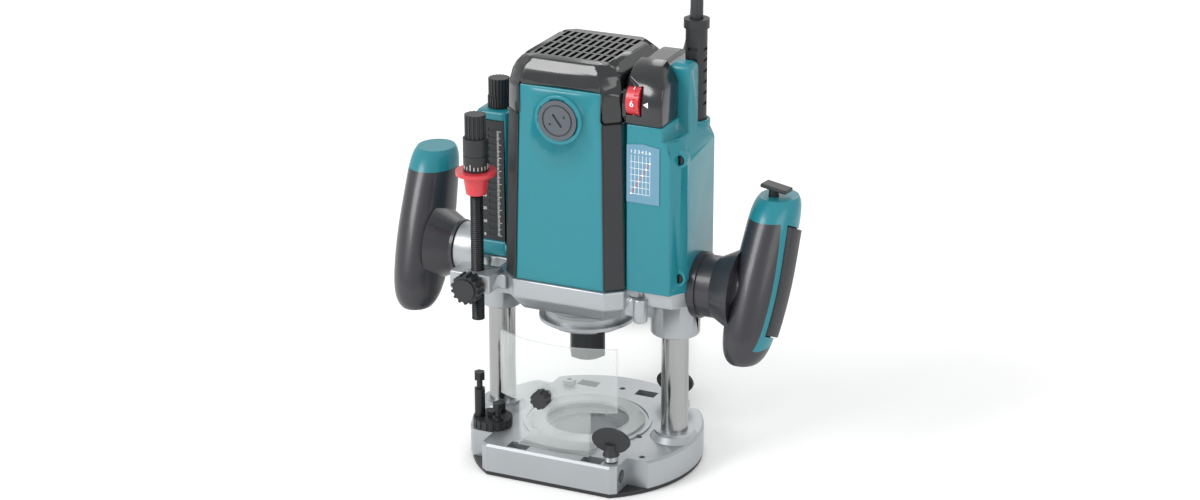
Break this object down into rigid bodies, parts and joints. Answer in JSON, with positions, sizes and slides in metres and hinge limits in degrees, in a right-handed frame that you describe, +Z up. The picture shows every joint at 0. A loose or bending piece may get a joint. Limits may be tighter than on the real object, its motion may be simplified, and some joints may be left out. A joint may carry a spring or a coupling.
{
  "type": "plunge router",
  "caption": "Plunge router with two D-section side handles, speed dial, depth-stop turret, clear chip deflector and a round base.",
  "frame": {"origin": "on the spindle axis at the underside of the base", "axes": "+X along the handles towards the right handle, -Y towards the operator's front side with the flat base edge, +Z up the columns"},
  "size_m": [0.3118, 0.4331, 0.434],
  "materials": {
    "base_casting": "satin",
    "gear_casting": "satin",
    "steel": "satin",
    "dark_steel": "satin",
    "chrome_steel": "gloss",
    "teal_plastic": "satin",
    "black_gloss": "gloss",
    "black_matte": "matte",
    "grey_plastic": "satin",
    "soft_black": "matte",
    "red_plastic": "satin",
    "clear_plastic": "gloss",
    "label_blue": "satin",
    "copper": "satin",
    "core_steel": "satin",
    "carbon": "matte",
    "cord_rubber": "matte"
  },
  "bodies": {
    "base": {"base_plate": "base_casting", "base_sole": "black_matte", "sole_screws": "steel", "guide_columns": "chrome_steel", "guide_retainer": "clear_plastic", "chip_deflector": "clear_plastic", "deflector_screw": "black_matte", "turret_pivot": "dark_steel", "clamp_springs": "steel", "cord_tube": "cord_rubber", "cord_coil": "cord_rubber", "cord_tail": "cord_rubber", "cord_tie": "black_matte", "plug_body": "black_matte", "plug_blades": "chrome_steel"},
    "turret": {"stop_turret": "black_matte", "stop_bolts": "dark_steel", "stop_nuts": "dark_steel"},
    "front_clamp": {"front_clamp_screw": "black_matte"},
    "rear_clamp": {"rear_clamp_screw": "black_matte"},
    "carriage": {"gear_housing": "gear_casting", "bearing_retainer": "gear_casting", "retainer_screws": "dark_steel", "motor_bearings": "steel", "column_bushes": "copper", "column_springs": "steel", "motor_housing": "teal_plastic", "corner_strips": "grey_plastic", "top_cover": "black_gloss", "housing_screws": "dark_steel", "field_core": "core_steel", "brush_holders": "copper", "carbon_brushes": "carbon", "brush_caps": "grey_plastic", "controller_housing": "teal_plastic", "dial_housing": "black_gloss", "speed_label": "label_blue", "cord_guard": "soft_black", "left_column_cover": "teal_plastic", "depth_scale": "black_matte", "left_grip": "soft_black", "right_grip": "soft_black", "grip_caps": "teal_plastic", "left_grip_pad": "soft_black"},
    "rotor": {"spindle": "steel", "armature": "core_steel", "commutator": "copper", "cooling_fan": "black_matte", "collet": "steel"},
    "collet_nut": {"collet_nut": "dark_steel"},
    "speed_dial": {"speed_dial": "red_plastic"},
    "switch_lever": {"switch_lever": "black_matte"},
    "lock_off": {"lock_off_button": "black_matte"},
    "plunge_lock": {"plunge_lock_lever": "black_matte"},
    "stop_pole": {"stop_pole": "dark_steel", "pole_pointer": "red_plastic"},
    "fine_knob": {"fine_knob": "black_matte"},
    "pole_clamp": {"pole_clamp_knob": "black_matte"},
    "height_knob": {"height_knob": "black_matte"},
    "shaft_lock": {"shaft_lock": "black_matte"}
  },
  "joints": [
    {"name": "turret_index", "type": "hinge", "parent": "base", "child": "turret", "pos_m": [-0.0606, -0.0363, 0.027], "axis": [0, 0, 1], "range_deg": [-120, 120]},
    {"name": "front_clamp_turn", "type": "hinge", "parent": "base", "child": "front_clamp", "pos_m": [0.046, -0.06, 0.03], "axis": [0, 0, 1], "range_deg": [0, 360]},
    {"name": "rear_clamp_turn", "type": "hinge", "parent": "base", "child": "rear_clamp", "pos_m": [0.046, 0.058, 0.03], "axis": [0, 0, 1], "range_deg": [0, 360]},
    {"name": "plunge", "type": "slide", "parent": "base", "child": "carriage", "axis": [0, 0, -1], "range_m": [0, 0.07], "stiffness_N_per_m": 450, "springref_m": -0.16, "deforming": ["column_springs"]},
    {"name": "spindle_spin", "type": "hinge", "parent": "carriage", "child": "rotor", "pos_m": [0, 0, 0.15], "axis": [0, 0, 1], "continuous": true},
    {"name": "collet_nut_turn", "type": "hinge", "parent": "rotor", "child": "collet_nut", "pos_m": [0, 0, 0.088], "axis": [0, 0, 1], "range_deg": [0, 360]},
    {"name": "speed_dial_turn", "type": "hinge", "parent": "carriage", "child": "speed_dial", "pos_m": [0.052, -0.028, 0.288], "axis": [1, 0, 0], "range_deg": [0, 280]},
    {"name": "switch_squeeze", "type": "hinge", "parent": "carriage", "child": "switch_lever", "pos_m": [0.14441, -0.00906, 0.12383], "axis": [0.1044, -0.9138, 0.3925], "range_deg": [0, 1.5], "stiffness_Nm_per_rad": 3, "springref_deg": -2.86},
    {"name": "lock_off_press", "type": "slide", "parent": "carriage", "child": "lock_off", "axis": [0, 0, -1], "range_m": [0, 0.002], "stiffness_N_per_m": 300, "springref_m": -0.002},
    {"name": "plunge_lock_turn", "type": "hinge", "parent": "carriage", "child": "plunge_lock", "pos_m": [-0.07, 0.02, 0.128], "axis": [0, 1, 0], "range_deg": [-35, 0]},
    {"name": "stop_pole_slide", "type": "slide", "parent": "carriage", "child": "stop_pole", "axis": [0, 0, 1], "range_m": [-0.04, 0.03]},
    {"name": "fine_knob_turn", "type": "hinge", "parent": "stop_pole", "child": "fine_knob", "pos_m": [-0.0645, -0.0495, 0.25], "axis": [0, 0, 1], "range_deg": [0, 360]},
    {"name": "pole_clamp_turn", "type": "hinge", "parent": "carriage", "child": "pole_clamp", "pos_m": [-0.0645, -0.065, 0.142], "axis": [0, 1, 0], "range_deg": [0, 360]},
    {"name": "height_knob_turn", "type": "hinge", "parent": "carriage", "child": "height_knob", "pos_m": [-0.07, 0, 0.27], "axis": [0, 0, 1], "range_deg": [0, 360]},
    {"name": "shaft_lock_press", "type": "slide", "parent": "carriage", "child": "shaft_lock", "axis": [0, -1, 0], "range_m": [0, 0.004], "stiffness_N_per_m": 400, "springref_m": -0.002}
  ]
}
